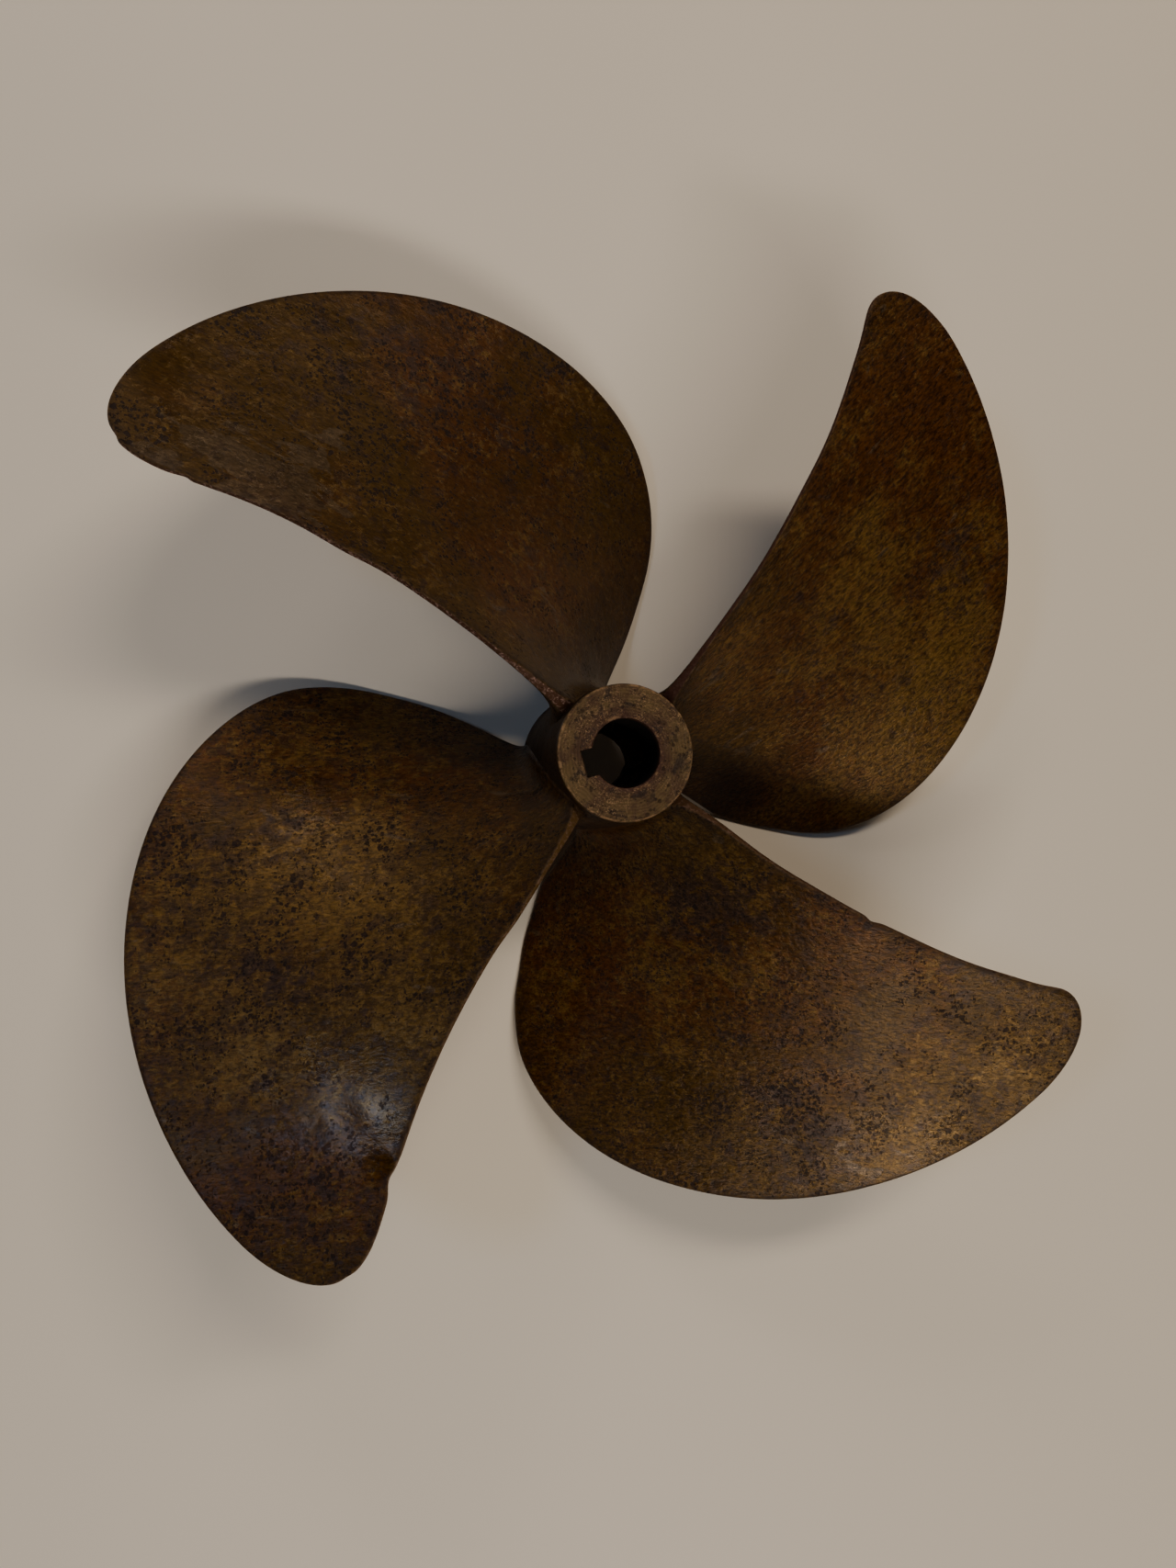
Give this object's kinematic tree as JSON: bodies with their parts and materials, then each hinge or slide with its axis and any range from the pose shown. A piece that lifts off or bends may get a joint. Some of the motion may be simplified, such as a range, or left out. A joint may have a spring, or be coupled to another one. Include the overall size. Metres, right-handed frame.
{
  "type": "ship propeller",
  "caption": "Right-handed fixed-pitch ship propeller with broad, skewed-back blades, cast whole in bronze with its hub, which has a keyed taper bore.",
  "frame": {"origin": "on the shaft axis, level with the lowest points of the blades, on which the casting rests", "axes": "+Z along the shaft axis, pointing aft, the way the hub's smaller face looks; +X through the keyway and the middle of one blade's root"},
  "size_m": [0.4572, 0.4572, 0.114],
  "materials": {
    "cast_bronze": "old cast bronze with a dark brown patina, pitted, semi-gloss"
  },
  "bodies": {
    "root": {"propeller": "cast_bronze"}
  },
  "joints": []
}
